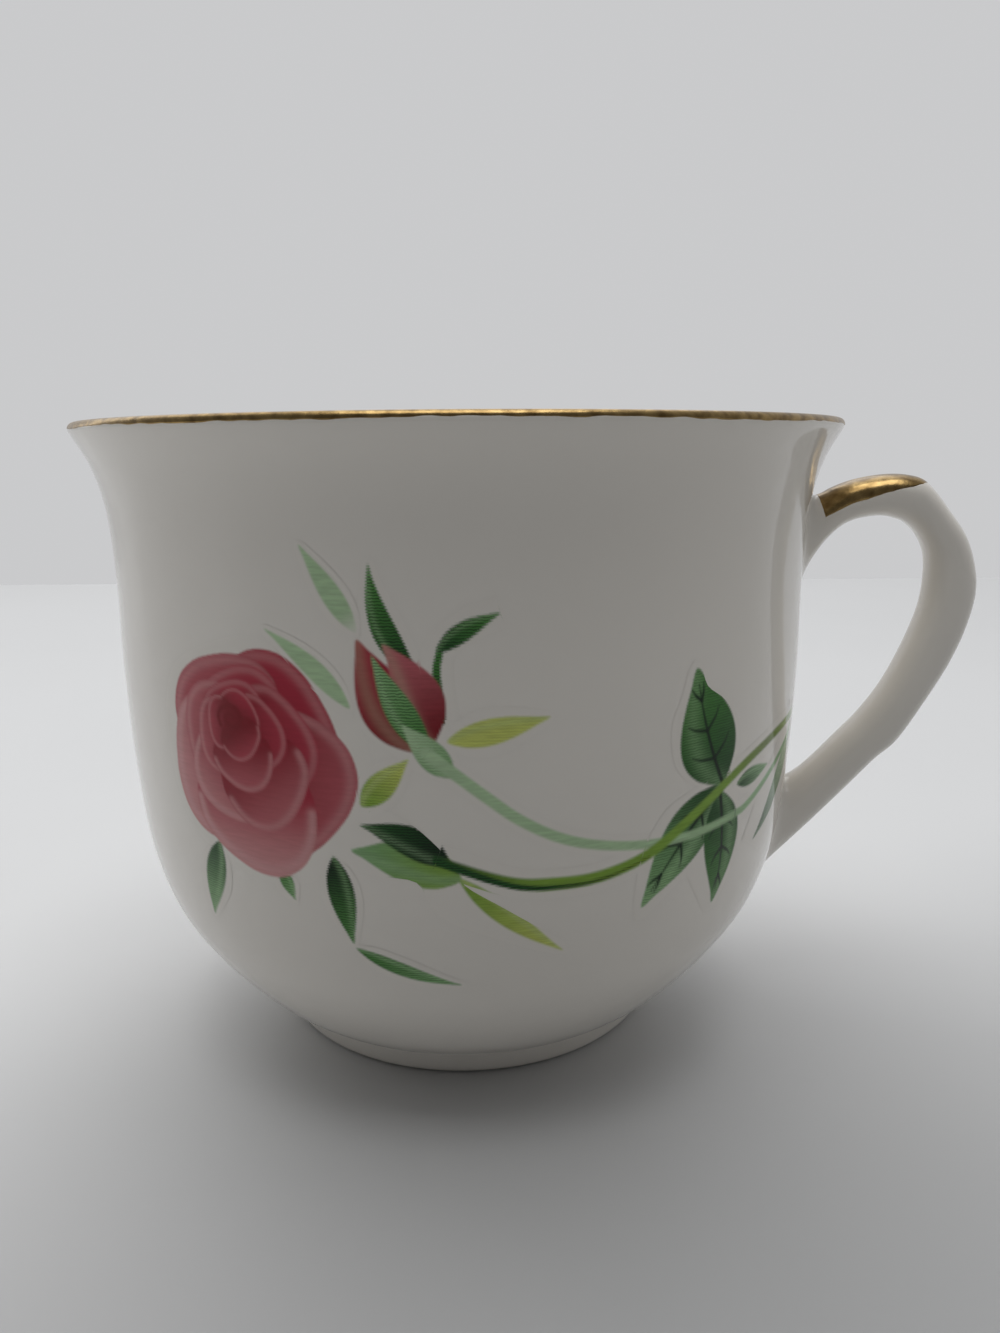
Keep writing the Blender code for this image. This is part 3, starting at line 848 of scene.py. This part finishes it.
def film_mesh(outline):
    """Flat triangles that fill an outline with a fine, even grid."""
    low, high = outline.min(axis=0), outline.max(axis=0)
    across = np.arange(low[0], high[0], PRINT_CELL)
    up = np.arange(low[1], high[1], PRINT_CELL)
    grid = np.array(np.meshgrid(across, up)).reshape(2, -1).T
    grid = grid[is_inside(grid, outline)]
    edge, _ = nearest(grid, np.vstack([outline, outline[:1]]))
    places = np.vstack([outline, grid[edge > PRINT_CELL / 2]])
    count = len(outline)
    rim = [(i, (i + 1) % count) for i in range(count)]
    flat, _, triangles, *_ = delaunay_2d_cdt(places.tolist(), rim, [list(range(count))], 1, 1e-6)
    return np.array([tuple(p) for p in flat]), np.array(triangles)


def boundary(triangles):
    """The directed edges that belong to one triangle only."""
    edges = {(t[k], t[(k + 1) % 3]) for t in triangles.tolist() for k in range(3)}
    return [(a, b) for a, b in edges if (b, a) not in edges]


def make_film(node, slot, outline, lift, materials):
    """A printed film: top and sunken underside, with the ink painted on its points."""
    flat, triangles = film_mesh(outline)
    count = len(flat)
    points = np.vstack([on_wall(flat, lift), on_wall(flat, SUNK)])
    faces = triangles.tolist() + (triangles[:, ::-1] + count).tolist()
    faces += [(a, a + count, b + count, b) for a, b in boundary(triangles)]
    piece = add_piece(node.replace("transfer", "print"), points, faces, [materials[slot]], [node])
    colour, cover, hatch = paint(flat)
    ink = np.tile(np.column_stack([colour, cover]), (2, 1))
    mesh = piece.data
    mesh.attributes.new("ink", "FLOAT_COLOR", "POINT").data.foreach_set("color", ink.ravel())
    mesh.attributes.new("hatch", "FLOAT", "POINT").data.foreach_set("value", np.tile(hatch, 2))
    mesh.normals_split_custom_set_from_vertices([tuple(wall_normal(point)) for point in points])


PRINT_SCREEN = 1200.0
HATCH_DEPTH = 1.1
HATCH_GAPS = 2.2


def add_math(tree, operation, first, second, **settings):
    """The output of a math node on two sockets or numbers."""
    return add_node(tree, "ShaderNodeMath", {0: first, 1: second}, operation=operation, **settings).outputs[0]


def print_material(name, grain):
    """Ink under the glaze: the painted colours, broken up by the printing screen and its hatching."""
    material, tree, shader = new_material(name, Roughness=0.06, IOR=1.3)
    where = glaze_bump(tree, shader)
    ink = add_node(tree, "ShaderNodeAttribute", attribute_name="ink")
    hatch = add_node(tree, "ShaderNodeAttribute", attribute_name="hatch")
    wave = add_node(tree, "ShaderNodeTexWave", {
        "Vector": where, "Scale": PRINT_SCREEN, "Distortion": 3.0, "Detail": 2.0, "Detail Scale": 2.0,
    }, bands_direction="Z")
    stretch = add_node(tree, "ShaderNodeMapping", {"Vector": where, "Scale": (500.0, 500.0, 4000.0)})
    screen = add_node(tree, "ShaderNodeTexNoise", {
        "Vector": stretch.outputs["Vector"], "Scale": 1.0, "Detail": 2.0,
    })
    grained = add_node(tree, "ShaderNodeMapRange", {
        "Value": screen.outputs["Fac"], "From Min": 0.3, "From Max": 0.7,
        "To Min": 1 - grain, "To Max": 1 + grain,
    })
    lined = add_math(tree, "SUBTRACT", wave.outputs["Fac"], 0.5)
    depth = add_math(tree, "MULTIPLY", lined, hatch.outputs["Fac"])
    darker = add_math(tree, "MULTIPLY", depth, -HATCH_DEPTH)
    tone = add_math(tree, "ADD", grained.outputs["Result"], darker)
    toned = add_node(tree, "ShaderNodeVectorMath", {
        0: ink.outputs["Color"], "Scale": tone,
    }, operation="SCALE")
    ragged = add_math(tree, "MULTIPLY", depth, HATCH_GAPS)
    thin = add_math(tree, "SUBTRACT", ink.outputs["Alpha"], 1.0)
    gaps = add_math(tree, "MULTIPLY", thin, ragged)
    cover = add_math(tree, "ADD", ink.outputs["Alpha"], gaps, use_clamp=True)
    inked = add_node(tree, "ShaderNodeMix", {"Factor": cover}, data_type="RGBA")
    tree.links.new(porcelain_tint(tree, where), inked.inputs["A"])
    tree.links.new(toned.outputs["Vector"], inked.inputs["B"])
    tree.links.new(inked.outputs["Result"], shader.inputs["Base Color"])
    return material


# ---------------------------------------------------------------- camera, light and floor


# The camera's place round the bowl's axis, and the way it looks
CAMERA_DISTANCE = 121.7
CAMERA_HEIGHT = 66.9
CAMERA_AZIMUTH = math.radians(-80)
CAMERA_YAW, CAMERA_PITCH, CAMERA_ROLL = math.radians(97.94), math.radians(-12.06), math.radians(-0.43)


def make_camera():
    """The camera at the photo's viewing angle."""
    yaw, pitch, roll = CAMERA_YAW, CAMERA_PITCH, CAMERA_ROLL
    level = Vector((math.cos(yaw), math.sin(yaw), 0))
    forwards = level * math.cos(pitch) + Vector((0, 0, math.sin(pitch)))
    right = forwards.cross(Vector((0, 0, 1))).normalized()
    up = right.cross(forwards)
    x_axis = right * math.cos(roll) + up * math.sin(roll)
    y_axis = up * math.cos(roll) - right * math.sin(roll)
    turn = Matrix((x_axis, y_axis, -forwards)).transposed().to_4x4()
    place = Vector((
        AXIS_X + CAMERA_DISTANCE * MM * math.cos(CAMERA_AZIMUTH),
        CAMERA_DISTANCE * MM * math.sin(CAMERA_AZIMUTH),
        CAMERA_HEIGHT * MM,
    ))
    data = bpy.data.cameras.new("camera")
    data.lens = 27.03
    data.sensor_width = 36.0
    data.clip_start = 0.005
    camera = bpy.data.objects.new("camera", data)
    camera.matrix_world = Matrix.Translation(place) @ turn
    bpy.context.scene.collection.objects.link(camera)
    bpy.context.scene.camera = camera


def area_light(name, place, target, size, watts):
    """A rectangular soft light that faces its target; its size is (width, height) in metres."""
    data = bpy.data.lights.new(name, "AREA")
    data.shape = "RECTANGLE"
    data.size, data.size_y = size
    data.energy = watts
    light = bpy.data.objects.new(name, data)
    light.location = place
    light.rotation_euler = (Vector(target) - Vector(place)).to_track_quat("-Z", "Y").to_euler()
    bpy.context.scene.collection.objects.link(light)
    return light


STAGE_TURN = math.radians(8)
TABLE_END = 0.43


def stage_plane(name, points, faces, material):
    """A surface of the stage, which isn't part of the cup."""
    mesh = bpy.data.meshes.new(name)
    mesh.from_pydata(points, [], faces)
    mesh.materials.append(material)
    mesh.shade_smooth()
    plane = bpy.data.objects.new(name, mesh)
    plane.rotation_euler.z = STAGE_TURN
    bpy.context.scene.collection.objects.link(plane)


def make_table():
    """A pale table top with painted shade that darkens it towards the camera's side, which ends well behind
    the cup.
    """
    material, tree, shader = new_material("pale_table", Roughness=0.55)
    where = add_node(tree, "ShaderNodeTexCoord").outputs["Object"]
    cloud = add_node(tree, "ShaderNodeTexNoise", {"Vector": where, "Scale": 6.0, "Detail": 5.0})
    tint = add_node(tree, "ShaderNodeValToRGB", {"Fac": cloud.outputs["Fac"]})
    tint.color_ramp.elements[0].color = (0.66, 0.665, 0.67, 1.0)
    tint.color_ramp.elements[1].color = (0.72, 0.725, 0.73, 1.0)
    # Painted shade: the table's colour is scaled down towards the camera's side, standing in for the light
    # falling off there
    split = add_node(tree, "ShaderNodeSeparateXYZ", {"Vector": where})
    across = add_math(tree, "MULTIPLY", split.outputs["X"], -0.35)
    back = add_math(tree, "ADD", split.outputs["Y"], across)
    painted_shade = add_node(tree, "ShaderNodeMapRange", {
        "Value": back, "From Min": -0.08, "From Max": 0.03, "To Min": 0.58, "To Max": 1.0,
    }, interpolation_type="SMOOTHSTEP")
    toned = add_node(tree, "ShaderNodeVectorMath", {
        0: tint.outputs["Color"], "Scale": painted_shade.outputs["Result"],
    }, operation="SCALE")
    tree.links.new(toned.outputs["Vector"], shader.inputs["Base Color"])
    near, edge, wide = -1.6, 0.02, 3.0
    profile = [(near, 0.0), (TABLE_END - edge, 0.0), (TABLE_END, -edge), (TABLE_END, -0.4)]
    table = [(x, y, z) for y, z in profile for x in (-wide, wide)]
    faces = [(2 * i, 2 * i + 1, 2 * i + 3, 2 * i + 2) for i in range(len(profile) - 1)]
    stage_plane("table", table, faces, material)


def make_world():
    """A pale room. Its light is bright behind the cup and dim on the camera's side."""
    world = bpy.data.worlds.new("soft_room")
    bpy.context.scene.world = world
    world.use_nodes = True
    tree = world.node_tree
    where = add_node(tree, "ShaderNodeTexCoord").outputs["Generated"]
    split = add_node(tree, "ShaderNodeSeparateXYZ", {"Vector": where})
    ramp = add_node(tree, "ShaderNodeMapRange", {
        "Value": split.outputs["Y"], "From Min": -0.4, "From Max": 0.8, "To Min": 0.15, "To Max": 0.6,
    }, interpolation_type="SMOOTHSTEP")
    seen = add_node(tree, "ShaderNodeLightPath").outputs["Is Camera Ray"]
    strength = add_node(tree, "ShaderNodeMix", {"Factor": seen, "A": ramp.outputs["Result"], "B": 0.6})
    background = tree.nodes["Background"]
    background.inputs["Color"].default_value = (0.98, 0.985, 1.0, 1.0)
    tree.links.new(strength.outputs["Result"], background.inputs["Strength"])


def make_light():
    """Soft light from behind and above, dim fills that the glaze doesn't mirror, and a window strip."""
    make_world()
    cup_middle = (0.0, 0.0, 0.04)
    area_light("sky", (-0.3, 0.7, 0.8), (0.0, 0.1, 0.0), (1.5, 0.9), 3.6)
    area_light("ceiling", (0.0, -0.05, 1.0), (0.0, 0.0, 0.0), (0.7, 0.7), 4.6)
    left_fill = area_light("left_fill", (-0.62, -0.12, 0.28), cup_middle, (0.5, 0.5), 0.35)
    right_fill = area_light("right_fill", (0.7, 0.12, 0.3), cup_middle, (0.5, 0.5), 0.42)
    for fill in (left_fill, right_fill):
        fill.visible_glossy = False
    area_light("left_strip", (-0.5, 0.2, 0.2), cup_middle, (0.07, 0.3), 0.12)
    bpy.context.scene.view_settings.view_transform = "Standard"


def main():
    porcelain = porcelain_material()
    gold = gold_material()
    make_bowl(porcelain)
    make_foot(porcelain)
    rows = make_handle(porcelain)
    make_rim_gold(gold)
    make_handle_gold(gold, rows)
    prints = {
        "pink_print": print_material("rose_print", 0.05),
        "dark_green_print": print_material("dark_leaf_print", 0.12),
        "green_print": print_material("leaf_print", 0.10),
        "yellow_green_print": print_material("lime_leaf_print", 0.10),
        "pale_green_print": print_material("pale_sprig_print", 0.10),
    }
    for index, (node, slot, outline) in enumerate(FILMS):
        make_film(node, slot, outline, PRINT_LIFT + index * LIFT_STEP, prints)
    make_table()
    make_camera()
    make_light()


main()
